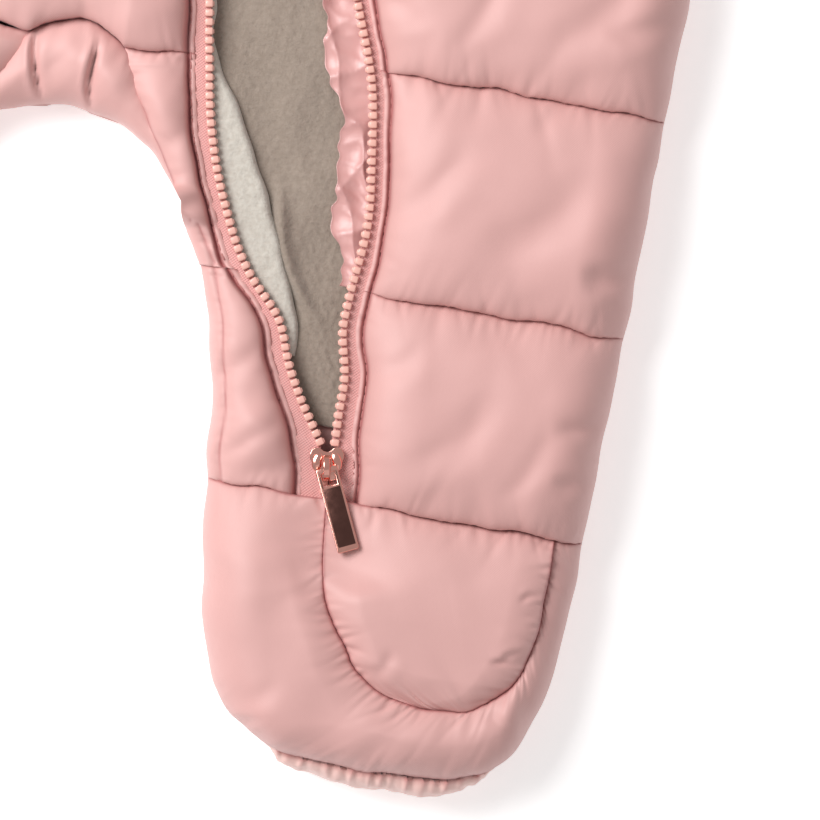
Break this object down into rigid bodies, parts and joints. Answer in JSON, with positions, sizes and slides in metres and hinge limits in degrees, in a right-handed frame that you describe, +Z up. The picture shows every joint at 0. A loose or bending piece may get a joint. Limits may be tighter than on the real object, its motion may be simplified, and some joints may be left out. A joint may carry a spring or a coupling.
{
  "type": "baby snowsuit",
  "caption": "Padded footed baby snowsuit lying open on its back, quilted front and back walls, long curved zip from neck to ankle, fleece lining, booties and sleeves.",
  "frame": {"origin": "middle of the suit's footprint, on the surface that it lies on", "axes": "+Y from the feet to the neck, +X to the wearer's left, +Z up, out of the front"},
  "size_m": [0.6132, 0.7384, 0.0425],
  "materials": {
    "shell": "satin quilted nylon, padded",
    "fleece": "short cream fleece pile",
    "facing": "thin shiny lining taffeta",
    "tape": "woven zip tape",
    "teeth": "moulded coral pink",
    "metal": "polished rose gold"
  },
  "bodies": {
    "garment": {"back_torso": "shell", "front_torso_left": "shell", "front_torso_right": "shell", "crotch_gusset": "shell", "back_leg_left": "shell", "back_leg_right": "shell", "front_leg_left_inner": "shell", "front_leg_left_outer": "shell", "front_leg_right": "shell", "foot_back_left": "shell", "foot_back_right": "shell", "foot_wrap_left": "shell", "foot_wrap_right": "shell", "foot_vamp_left": "shell", "foot_vamp_right": "shell", "foot_sole_left": "shell", "foot_sole_right": "shell", "sleeve_back_left": "shell", "sleeve_back_right": "shell", "sleeve_front_left": "shell", "sleeve_front_right": "shell", "cuff_back_left": "shell", "cuff_back_right": "shell", "cuff_front_left": "shell", "cuff_front_right": "shell", "collar_back": "shell", "collar_front_left": "shell", "collar_front_right": "shell", "lining_back": "fleece", "lining_inner_front": "fleece", "zip_facing": "facing", "zip_tape_inner": "tape", "zip_tape_outer": "tape", "zip_teeth_inner": "teeth", "zip_teeth_outer": "teeth", "zip_chain_closed": "teeth", "zip_slider": "metal"},
    "pull": {"zip_pull": "metal"}
  },
  "joints": [
    {"name": "pull_swing", "type": "hinge", "parent": "garment", "child": "pull", "pos_m": [0.11988, -0.25381, 0.0308], "axis": [-0.9041, -0.4274, 0], "range_deg": [0, 150]}
  ]
}
